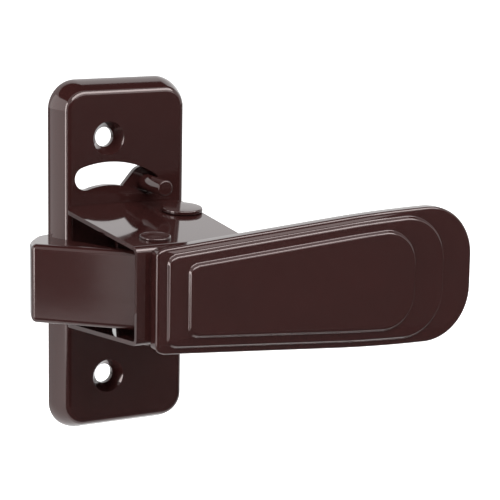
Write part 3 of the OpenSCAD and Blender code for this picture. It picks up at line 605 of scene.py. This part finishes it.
def spring_path(x, out, radius, pitch, turns, first, last, leg_low, leg_high, bend=1.4):
    """A torsion spring's centre line: a straight leg, the coil and a straight leg."""
    sweep = 360 * turns + last - first
    steps = round(sweep / 9)
    climb = pitch * sweep / 360
    coil = []
    for i in range(steps + 1):
        a = math.radians(first + sweep * i / steps)
        coil.append((x + radius * math.cos(a), -out + radius * math.sin(a),
                     LEVER_Z - climb / 2 + climb * i / steps))
    low = (leg_low[0], leg_low[1], coil[0][2])
    high = (leg_high[0], leg_high[1], coil[-1][2])

    def leg(tip, root, count=10):
        return [tuple(tip[k] + (root[k] - tip[k]) * i / count for k in range(3))
                for i in range(count)]
    return leg(low, coil[0]) + coil + leg(high, coil[-1])[::-1]


def make_springs():
    wire = 1.1
    radius = BUSHING_R + wire / 2 + 0.35
    leg_out = LEVER_OUT - SHEET_T - wire / 2 - 0.15
    plate_leg = PLATE_OUT + BRACKET_T + wire / 2 + 0.1
    path = spring_path(PIVOT_X, PIVOT_OUT, radius, wire + 0.12, 6, 180, 0,
                       (PIVOT_X - radius, -plate_leg), (LEVER_RIGHT - 1.5 * wire, -leg_out))
    spring("lever_torsion_spring", path, wire / 2, "lever_spring", "base")

    wire = 0.8
    radius = TONGUE_PIN_R + 1 + 0.9 * wire
    leg = 2.4 * TONGUE_HUB_R
    web_back = LEVER_OUT - SHEET_T - 0.65 * wire
    reach = TONGUE_WALL + 0.7 * wire
    on_wall = (RAMP_END[0] - leg * RAMP_DIR[0] + reach * RAMP_SIDE[0],
               RAMP_END[1] - leg * RAMP_DIR[1] + reach * RAMP_SIDE[1])
    path = spring_path(TONGUE_PIN_X, TONGUE_PIN_OUT, radius, wire + 0.1, 5, 270, 135,
                       (TONGUE_PIN_X + leg, -web_back), on_wall)
    spring("tongue_torsion_spring", path, wire / 2, "tongue_spring", "lever")


def make_rivets():
    """Pairs of rivets and washers, each pair one piece."""
    r = BRACKET_RIVET_R
    front = PLATE_OUT + BRACKET_T
    rivet = turned("rivet", [
        (0, INSIDE_OUT - 0.5), (r + 0.4, INSIDE_OUT - 0.5), (r + 1, INSIDE_OUT), (r, INSIDE_OUT),
        (r, front), (r + 1.3, front), (r + 1.1, front + 0.5), (r + 0.4, front + 1.05),
        (0, front + 1.2)], 0, 0, False, 48)
    soften(rivet, 0.06, 2)
    pair = copies("bracket_rivet_pair", rivet,
                  [(PIVOT_X, 0, LEVER_Z + end * RIVET_GAP / 2) for end in (-1, 1)], (0, 0),
                  PLATED_STEEL)
    stands_for(pair, "bracket_rivets", "base", PLATED_STEEL)

    r = PADDLE_RIVET_R
    back = LEVER_OUT - SHEET_T
    front = LEVER_OUT + PADDLE_DEPTH - 0.5
    rivet = turned("rivet", [
        (0, back - 1.2), (r + 0.3, back - 1.15), (r + 1.1, back - 0.7), (r + 1.5, back), (r, back),
        (r, front), (0, front)], 0, 0, False, 48)
    soften(rivet, 0.06, 2)
    pair = copies("paddle_rivet_pair", rivet,
                  [(PADDLE_RIVET_X, 0, LEVER_Z + end * RIVET_GAP / 2) for end in (-1, 1)], (0, 0),
                  SHEET_ENAMEL)
    stands_for(pair, "paddle_rivets", "lever", SHEET_ENAMEL)

    low = BRACKET_HALF + SLIDE_GAP
    bore, rim = PIN_R + TURN_GAP, EAR_WASHER_R
    ring = turned("ring", [(bore, low), (rim - 0.1, low), (rim, low + 0.1),
                           (rim, low + EAR_WASHER_T - 0.1), (rim - 0.1, low + EAR_WASHER_T),
                           (bore, low + EAR_WASHER_T)], 0, 0, True, 64, True)
    soften(ring, 0)
    pair = copies("ear_washer_pair", ring,
                  [(PIVOT_X, -PIVOT_OUT, LEVER_Z)] * 1 + [(PIVOT_X, -PIVOT_OUT, LEVER_Z + 1e-3)],
                  (0, 1), PLATED_STEEL)
    stands_for(pair, "ear_washers", "base", PLATED_STEEL)

    low = TONGUE_HALF - TONGUE_WALL + SLIDE_GAP
    rim = 1.55 * TONGUE_PIN_R
    high = low + ear_inner(TONGUE_PIN_OUT + rim) - (TONGUE_HALF - TONGUE_WALL) - 2 * SLIDE_GAP
    bore = TONGUE_PIN_R + SHANK_GAP
    ring = turned("ring", [(bore, low), (rim - 0.2, low), (rim, low + 0.2), (rim, high - 0.2),
                           (rim - 0.2, high), (bore, high)], 0, 0, True, 64, True)
    soften(ring, 0)
    pair = copies("tongue_spacer_pair", ring,
                  [(TONGUE_PIN_X, -TONGUE_PIN_OUT, LEVER_Z),
                   (TONGUE_PIN_X, -TONGUE_PIN_OUT, LEVER_Z + 1e-3)], (0, 1), PLATED_STEEL)
    stands_for(pair, "tongue_spacers", "lever", PLATED_STEEL)


# ---- Tongue ----

def in_tongue(across_share, out_share):
    return (-NOSE_X * (1 - across_share), -PLATE_OUT - (LEVER_OUT - PLATE_OUT) * out_share)


HUB = (TONGUE_PIN_X, -TONGUE_PIN_OUT)
TIP, NOSE_BACK = in_tongue(0.3526, 0.0946), in_tongue(0.2023, 0.1288)
NOSE_SIDE, NOSE_FRONT = in_tongue(0.078, 0.2414), in_tongue(0, 0.3903)
RAMP_DIR = unit((HUB[0] - 0.7071 * TONGUE_HUB_R - NOSE_FRONT[0],
                 HUB[1] - 0.7071 * TONGUE_HUB_R - NOSE_FRONT[1]))
RAMP_SIDE = (-RAMP_DIR[1], RAMP_DIR[0])
RAMP_END = (HUB[0] - TONGUE_HUB_R * (RAMP_SIDE[0] + 0.686 * RAMP_DIR[0]),
            HUB[1] - TONGUE_HUB_R * (RAMP_SIDE[1] + 0.686 * RAMP_DIR[1]))
NOSE_RADII = [share * TONGUE_HUB_R for share in (1.14, 1.9, 0.35)]
FLANGE_FAR, FLANGE_NEAR = in_tongue(0.294, 0.2414), in_tongue(0.595, 0.704)


def inset_corner(a, b, c, w):
    u, v = unit((a[0] - b[0], a[1] - b[1])), unit((c[0] - b[0], c[1] - b[1]))
    k = w / abs(u[0] * v[1] - u[1] * v[0])
    return (b[0] + (u[0] + v[0]) * k, b[1] + (u[1] + v[1]) * k)


def tongue_skin(w):
    """The tongue's front line from its tip to its hub, moved inwards by w."""
    along = unit((NOSE_BACK[0] - TIP[0], NOSE_BACK[1] - TIP[1]))
    tip = (TIP[0] - w * along[1], TIP[1] + w * along[0])
    end = (RAMP_END[0] + w * RAMP_SIDE[0], RAMP_END[1] + w * RAMP_SIDE[1])
    corners = [TIP, NOSE_BACK, NOSE_SIDE, NOSE_FRONT, RAMP_END]
    moved = [inset_corner(*corners[i:i + 3], w) if w else corners[i + 1] for i in range(3)]
    line = [tip] + moved + [end]
    skin = [tip]
    for i, radius in enumerate(NOSE_RADII):
        skin += corner_arc(*line[i:i + 3], max(radius - w, 0.2), 12)
    return skin + [end]


def make_tongue():
    w, roll, steps = TONGUE_WALL, 1.8, 8
    end_in = (RAMP_END[0] + w * RAMP_SIDE[0], RAMP_END[1] + w * RAMP_SIDE[1])
    far = (corner_arc(end_in, FLANGE_NEAR, FLANGE_FAR, 6, 10)
           + corner_arc(FLANGE_NEAR, FLANGE_FAR, TIP, 5, 10))
    outline = tongue_skin(0)
    rings = []
    for sign in (-1, 1):
        turns = [90 * i / steps for i in range(steps + 1)]
        for t in (turns[::-1] if sign < 0 else turns):
            inset = roll * (1 - math.cos(math.radians(t)))
            height = TONGUE_HALF - roll + roll * math.sin(math.radians(t))
            skin = tongue_skin(inset) if inset > 1e-6 else outline
            rings.append([(p[0], p[1], LEVER_Z + sign * height) for p in skin + [end_in] + far])
    tongue = loft("tongue_shell", rings)
    inner = tongue_skin(w)
    behind = [(inner[-1][0] + 20, inner[-1][1] + 3), (inner[-1][0] + 20, -PLATE_OUT),
              (TIP[0] + 6, -PLATE_OUT + 6), (inner[0][0] - 0.5, -PLATE_OUT + 6)]
    carve(tongue, prism("hollow", inner + behind, LEVER_Z - TONGUE_HALF + w,
                        LEVER_Z + TONGUE_HALF - w, up_from))
    near = (RAMP_END[0] - RAMP_DIR[0] * 15, RAMP_END[1] - RAMP_DIR[1] * 15)
    heel_y = -LEVER_OUT + SHEET_T + SLIDE_GAP
    cheek = [(near[0] + 0.3 * RAMP_SIDE[0], near[1] + 0.3 * RAMP_SIDE[1]),
             (RAMP_END[0] + 0.3 * RAMP_SIDE[0], RAMP_END[1] + 0.3 * RAMP_SIDE[1]),
             (HUB[0] - 5.2, heel_y + 1.6), (HUB[0] - 4.4, heel_y), (HUB[0] - 1.6, heel_y)]
    cheek += arc(HUB, TONGUE_HUB_R, math.degrees(math.atan2(-1, 0.3)), 110, 32)
    cheek += [(near[0] + 7 * RAMP_SIDE[0], near[1] + 7 * RAMP_SIDE[1])]
    for end in (-1, 1):
        low = LEVER_Z + (TONGUE_HALF - 2 * w if end > 0 else -TONGUE_HALF + w) - 0.01
        carve(tongue, prism("cheek", cheek, low, low + w + 0.02, up_from), "UNION")
    radius = TONGUE_PIN_R + TURN_GAP
    carve(tongue, turned("hole", [(0, -30), (radius, -30), (radius, 30), (0, 30)],
                         TONGUE_PIN_X, TONGUE_PIN_OUT, True, 64))
    soften(tongue, 0.25)
    stands_for(tongue, "tongue", "tongue", CAST_ENAMEL)


def make_tongue_rivet():
    r, head_r = TONGUE_PIN_R, TONGUE_HEAD_R
    low = LEVER_Z - ear_half(TONGUE_PIN_OUT - head_r) - 0.02
    top = LEVER_Z + ear_half(TONGUE_PIN_OUT) + 0.02
    rivet = turned("tongue_pin_rivet", [
        (0, low - TONGUE_HEAD_T), (head_r - 1.4, low - TONGUE_HEAD_T), (head_r - 0.9, low - 0.7),
        (head_r - 0.7, low), (r, low), (r, top + 0.3), (0, top + 0.3)],
        TONGUE_PIN_X, TONGUE_PIN_OUT, True)
    high = TONGUE_HEAD_T
    carve(rivet, leaning_head([(0, 0), (head_r - 0.1, 0)] + arc((head_r - 0.4, high - 0.4), 0.4, -10, 115, 9)
                              + [(head_r - 1.2, high - 0.22), (head_r - 2.2, high - 0.26),
                                 (1.0, high - 0.14), (0, high - 0.12)],
                              TONGUE_PIN_X, TONGUE_PIN_OUT, top), "UNION")
    soften(rivet, 0.0)
    stands_for(rivet, "tongue_rivet", "lever", CAST_ENAMEL)
    half, bore = TONGUE_HALF - 2 * TONGUE_WALL - SLIDE_GAP, r + SHANK_GAP
    rim = r + 1
    tube = turned("tongue_spring_tube", [
        (bore, LEVER_Z - half), (rim - 0.2, LEVER_Z - half), (rim, LEVER_Z - half + 0.2),
        (rim, LEVER_Z + half - 0.2), (rim - 0.2, LEVER_Z + half), (bore, LEVER_Z + half)],
        TONGUE_PIN_X, TONGUE_PIN_OUT, True, 64, True)
    soften(tube, 0)
    stands_for(tube, "tongue_bushing", "lever", PLATED_STEEL)


# ---- Paddle ----

def paddle_half(x):
    from_crown = max(PADDLE_RIGHT - PADDLE_CROWN - x, 0)
    bent = min(from_crown, PADDLE_BEND)
    return PADDLE_H / 2 - bent * (from_crown - bent / 2) / PADDLE_CURVE


def paddle_ring(left, side, right, out):
    """The paddle's outline with its sides moved in, at a distance out."""
    x0, x1 = -PADDLE_LEFT + left, PADDLE_RIGHT - right
    end_r, r = PADDLE_END_R - side, PADDLE_CORNER
    z_end, z0, steps = paddle_half(x1 - end_r) - side, paddle_half(x0) - side, 30
    top = arc((x0 + r, z0 - r), r, 180, 100, 10)
    for i in range(steps + 1):
        x = x0 + r + (x1 - end_r - x0 - r) * i / steps
        top.append((x, paddle_half(x) - side))
    top += arc((x1 - end_r, z_end - end_r), end_r, 85, 0, 17)
    whole = top + [(x, -z) for x, z in reversed(top)]
    return [out_from(x, z + PADDLE_Z, out) for x, z in whole]


def riser():
    """Section of one step: a concave foot, a leaning side and a round brow, as (inset, rise)."""
    tilt, foot, brow = 58, 0.6, 1.1
    slope = math.radians(90 - tilt)
    low = [(foot * math.sin(math.radians(t)), foot * (1 - math.cos(math.radians(t))))
           for t in range(0, tilt + 1, 8)]
    high = [(-brow * math.sin(math.radians(t)), STEP_H - brow * (1 - math.cos(math.radians(t))))
            for t in range(tilt - tilt % 8, -1, -8)]
    run = (high[0][1] - low[-1][1]) * math.tan(slope)
    reach = low[-1][0] + run - high[0][0]
    return ([(g - reach / 2, o) for g, o in low] + [(g + reach / 2, o) for g, o in high])


def make_paddle():
    face = LEVER_OUT + PADDLE_DEPTH
    rings = []

    def border(left, side, right, points):
        for d, out in points:
            rings.append(paddle_ring(left + d, side + d, right + d, out))

    edge = 1.0
    border(0, 0, 0, [(0.35, LEVER_OUT), (0.1, LEVER_OUT + 0.1), (0, LEVER_OUT + 0.35)])
    border(0, 0, 0, [(edge - g, face - edge + o) for g, o in arc((0, 0), edge, 0, 90, 9)])
    for step in (0, 1):
        base = face + step * STEP_H
        for inset, rise in riser():
            lift = 0.3 * (1 - rise / STEP_H)
            rings.append(paddle_ring(STEP_LEFTS[step] + inset * 0.6, STEP_SIDES[step] + inset,
                                     (step + 1) * STEP_RIGHT + inset * 0.6, base + rise + lift))
    paddle = loft("stepped_paddle", rings)

    wall = PADDLE_WALL
    hollow = [paddle_ring(wall, wall, wall, LEVER_OUT - 1), paddle_ring(wall, wall, wall, face - wall)]
    for step in (0, 1):
        insets = (STEP_LEFTS[step] + wall, STEP_SIDES[step] + wall, (step + 1) * STEP_RIGHT + wall)
        hollow += [paddle_ring(*insets, face - wall + (step + up) * STEP_H) for up in (0, 1)]
    carve(paddle, loft("hollow", hollow))
    boss_r = PADDLE_RIVET_R + 1.6
    blind = face - 0.4
    for end in (-1, 1):
        z = LEVER_Z + end * RIVET_GAP / 2
        carve(paddle, turned("boss", [(0, LEVER_OUT), (boss_r, LEVER_OUT), (boss_r, face - 0.5),
                                      (0, face - 0.5)], PADDLE_RIVET_X, z, False, 64), "UNION")
    rib_half = paddle_half(PADDLE_RIVET_X) - wall / 2
    rib = [(PADDLE_RIVET_X + side * 0.6, PADDLE_Z + end * rib_half)
           for side, end in ((-1, -1), (1, -1), (1, 1), (-1, 1))]
    carve(paddle, prism("rib", rib, LEVER_OUT, face - 0.5, out_from), "UNION")
    for end in (-1, 1):
        z = LEVER_Z + end * RIVET_GAP / 2
        radius = PADDLE_RIVET_R + SHANK_GAP
        carve(paddle, turned("hole", [(0, LEVER_OUT - 1), (radius, LEVER_OUT - 1), (radius, blind),
                                      (0, blind)], PADDLE_RIVET_X, z, False, 48))
    soften(paddle, 0.2, 2, 50)
    stands_for(paddle, "paddle", "lever", CAST_ENAMEL)


# ---- Night lock ----

def taper(p, rp, q, rq, steps=28):
    """Round ended arm from one circle to another."""
    u = unit((q[0] - p[0], q[1] - p[1]))
    side = (-u[1], u[0])
    lean = math.degrees(math.asin((rp - rq) / math.hypot(q[0] - p[0], q[1] - p[1])))

    def turn(mid, radius, first, last):
        made = []
        for i in range(steps + 1):
            a = math.radians(first + (last - first) * i / steps)
            made.append((mid[0] + radius * (math.cos(a) * u[0] + math.sin(a) * side[0]),
                         mid[1] + radius * (math.cos(a) * u[1] + math.sin(a) * side[1])))
        return made
    return turn(q, rq, -90 + lean, 90 - lean) + turn(p, rp, 90 - lean, 270 + lean)


def make_night_lock():
    stud = on_plate(SLOT_R, SLOT_RIGHT)
    tail = on_plate(-TAIL_R, SLOT_RIGHT)
    spigot = 0.73 * STUD_R
    peen = ARM_T / 2
    arm = prism("lock_arm_strip", taper((0, 0), ARM_HUB_R, stud, ARM_END_R), ARM_BACK, ARM_FRONT,
                out_from)
    carve(arm, prism("tail", taper((0, 0), ARM_HUB_R - 2, tail, TAIL_END_R), ARM_BACK, ARM_FRONT,
                     out_from), "UNION")
    for (x, z), radius in (((0, 0), LOCK_RIVET_R + TURN_GAP), (stud, spigot + SHANK_GAP)):
        carve(arm, turned("hole", [(0, 0), (radius, 0), (radius, 9), (0, 9)], x, z, False, 64))
    soften(arm, 0.25)
    stands_for(arm, "lock_arm", "lock", SHEET_ENAMEL)

    knob = turned("lock_stud_pin", [
        (0, ARM_BACK - peen), (0.95 * STUD_R, ARM_BACK - peen), (1.2 * STUD_R, ARM_BACK),
        (spigot, ARM_BACK), (spigot, ARM_FRONT), (STUD_R, ARM_FRONT), (STUD_R, STUD_END - 0.6),
        (STUD_R - 0.18, STUD_END - 0.18), (STUD_R - 0.6, STUD_END), (STUD_R - 0.8, STUD_END - 0.05),
        (0, STUD_END - 0.05)], stud[0], stud[1], False)
    soften(knob, 0.08, 2, 25)
    stands_for(knob, "lock_stud", "lock", CAST_ENAMEL)

    r = LOCK_RIVET_R
    peened = ARM_BACK - SLIDE_GAP
    rivet = turned("lock_pivot_rivet", [
        (0, peened - peen), (1.24 * r, peened - peen), (1.6 * r, peened), (r, peened),
        (r, PLATE_OUT), (1.8 * r, PLATE_OUT), (1.72 * r, PLATE_OUT + 0.5),
        (1.3 * r, PLATE_OUT + 1.15), (0.6 * r, PLATE_OUT + 1.36), (0, PLATE_OUT + 1.4)], 0, 0, False, 64)
    soften(rivet, 0.08, 2)
    stands_for(rivet, "lock_rivet", "base", CAST_ENAMEL)

    low, high, bore, rim = ARM_FRONT + SLIDE_GAP, INSIDE_OUT - SLIDE_GAP, r + SHANK_GAP, 2.36 * r
    washer = turned("lock_spring_washer", [(bore, low), (rim, low), (rim, high), (bore, high)],
                    0, 0, False, 64, True)
    soften(washer, 0.1)
    stands_for(washer, "lock_washer", "base", PLATED_STEEL)


make_backplate()
make_lever_bracket()
make_push_bar()
make_pivot_bracket()
make_pivot_pieces()
make_springs()
make_rivets()
make_tongue()
make_tongue_rivet()
make_paddle()
make_night_lock()


# ---- Studio ----

def card(name, corners, material):
    mesh = bpy.data.meshes.new(name)
    mesh.from_pydata(corners, [], [(0, 1, 2, 3)])
    mesh.materials.append(material)
    made = bpy.data.objects.new(name, mesh)
    COLLECTION.objects.link(made)
    return made


def backdrop_material():
    """A white floor that a camera sees as white; the object's shadow stays on it."""
    material, tree = new_material("white_studio_floor")
    rays = add(tree, "ShaderNodeLightPath")
    seen = add(tree, "ShaderNodeMath", {"operation": "MAXIMUM"},
               {0: (rays, "Is Camera Ray"), 1: (rays, "Is Transmission Ray")})
    paint = add(tree, "ShaderNodeBsdfDiffuse", {"Color": linear("#f4f4f4")})
    glow = add(tree, "ShaderNodeEmission", {"Color": linear("#ffffff")}, {"Strength": (seen, 0)})
    both = add(tree, "ShaderNodeAddShader", {}, {0: (paint, 0), 1: (glow, 0)})
    add(tree, "ShaderNodeOutputMaterial", {}, {"Surface": (both, 0)})
    return material


FLOOR_Z = -0.30
REACH = 6.0
card("floor", [(-REACH, -REACH, FLOOR_Z), (REACH, -REACH, FLOOR_Z), (REACH, REACH, FLOOR_Z),
               (-REACH, REACH, FLOOR_Z)], backdrop_material())

# Dark cards, as round a studio table: gloss shows them and nothing else does
def flag(name, corners, grey):
    material, tree = new_material(name + "_paper")
    paint = add(tree, "ShaderNodeBsdfDiffuse", {"Color": linear(grey)})
    add(tree, "ShaderNodeOutputMaterial", {}, {"Surface": (paint, 0)})
    made = card(name, corners, material)
    made.visible_camera = False
    made.visible_diffuse = False
    made.visible_transmission = False
    made.visible_shadow = False


def upright(x0, y0, x1, y1, low, high):
    return [(x0, y0, low), (x1, y1, low), (x1, y1, high), (x0, y0, high)]


flag("front_card", upright(-0.02, -0.75, 1.5, -0.75, -0.29, 0.34), "#707070")
flag("camera_side_card", upright(-0.85, -0.75, -0.02, -0.75, -0.29, 0.42), "#101010")
flag("side_card", upright(-1.09, -0.575, -0.85, -0.75, -0.29, 0.42), "#e4e4e4")
flag("far_side_card", upright(-1.17, -0.42, -1.09, -0.575, -0.29, 0.42), "#606060")
flag("floor_card", [(-1.0, -1.4, -0.294), (1.6, -1.4, -0.294), (1.6, -0.08, -0.294), (-1.0, -0.08, -0.294)],
     "#505050")
flag("ceiling_card", [(-1.5, 0.0, 1.1), (1.8, 0.0, 1.1), (1.8, 0.85, 1.1), (-1.5, 0.85, 1.1)],
     "#181818")

world = bpy.data.worlds.new("studio")
world.use_nodes = True
bpy.context.scene.world = world
air = world.node_tree
air.nodes.clear()
air_rays = add(air, "ShaderNodeLightPath")
air_seen = add(air, "ShaderNodeMath", {"operation": "MAXIMUM"},
               {0: (air_rays, "Is Camera Ray"), 1: (air_rays, "Is Glossy Ray")})
air_all = add(air, "ShaderNodeMath", {"operation": "MAXIMUM"},
              {0: (air_seen, 0), 1: (air_rays, "Is Transmission Ray")})
air_level = add(air, "ShaderNodeMapRange", {"To Min": 0.36, "To Max": 1.25}, {"Value": (air_all, 0)})
air_shader = add(air, "ShaderNodeBackground", {"Color": (1, 1, 1, 1)}, {"Strength": (air_level, 0)})
add(air, "ShaderNodeOutputWorld", {}, {"Surface": (air_shader, 0)})


def softbox(name, place, target, width, height, power, glossy=True):
    lamp = bpy.data.lights.new(name, "AREA")
    lamp.shape = "RECTANGLE"
    lamp.size, lamp.size_y, lamp.energy = width, height, power
    box = bpy.data.objects.new(name, lamp)
    box.location = place
    box.rotation_mode = "QUATERNION"
    box.rotation_quaternion = (Vector(target) - Vector(place)).to_track_quat("-Z", "Y")
    box.visible_camera = False
    box.visible_glossy = glossy
    COLLECTION.objects.link(box)


MIDDLE = (0.035, -0.03, 0.0)
softbox("top_softbox", (0.2, -0.62, 0.85), MIDDLE, 1.7, 0.45, 24.0)
softbox("front_softbox", (0.2, -0.98, 0.56), MIDDLE, 1.7, 0.42, 4.5)
softbox("left_softbox", (-1.3, -0.18, 0.2), MIDDLE, 0.5, 1.1, 18.0)
softbox("back_left_softbox", (-1.2, 0.62, 0.3), MIDDLE, 0.8, 1.2, 4.5)


# ---- Camera at the photograph's angle ----

camera_data = bpy.data.cameras.new("photo_camera")
camera_data.sensor_width = 36.0
camera_data.lens = 144.0
camera_data.clip_start, camera_data.clip_end = 0.05, 50.0
camera = bpy.data.objects.new("photo_camera", camera_data)
right = Vector((0.8717, -0.4898, 0.0169)).normalized()
up = Vector((0.0806, 0.1773, 0.9808)).normalized()
back = right.cross(up).normalized()
up = back.cross(right)
turn = Matrix((right, up, back)).transposed()
camera.rotation_mode = "QUATERNION"
camera.rotation_quaternion = turn.to_quaternion()
camera.location = Vector((-265.13, -567.00 + DOOR_BACK, 125.39)) * MM
COLLECTION.objects.link(camera)
bpy.context.scene.camera = camera
bpy.context.scene.view_settings.view_transform = "Standard"
